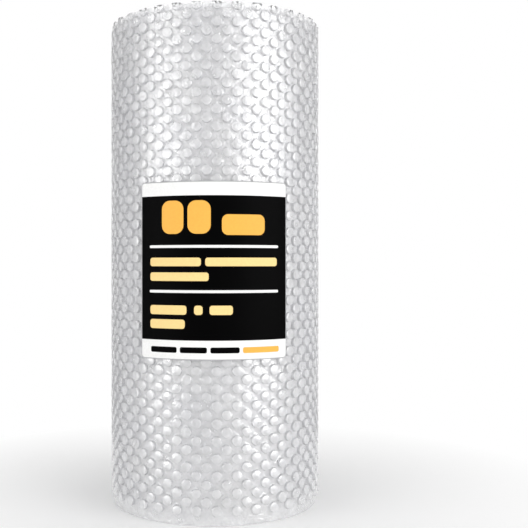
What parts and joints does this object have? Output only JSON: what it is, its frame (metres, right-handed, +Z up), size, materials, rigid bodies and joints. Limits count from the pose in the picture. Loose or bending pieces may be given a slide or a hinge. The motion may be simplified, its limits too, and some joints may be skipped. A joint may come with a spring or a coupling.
{
  "type": "bubble wrap roll",
  "caption": "Roll of small-bubble cushioning film standing on its end, with a wide label wrapped on its front.",
  "frame": {"origin": "middle of the lower end, on the winding axis", "axes": "+Z up along the winding axis, the label faces -Y, the web's free end lies at the back (+Y)"},
  "size_m": [0.1351, 0.137, 0.3048],
  "materials": {
    "film": "clear, glossy, crinkled film",
    "label": "printed, satin"
  },
  "bodies": {
    "root": {"bubble_web": "film", "label": "label"}
  },
  "joints": []
}
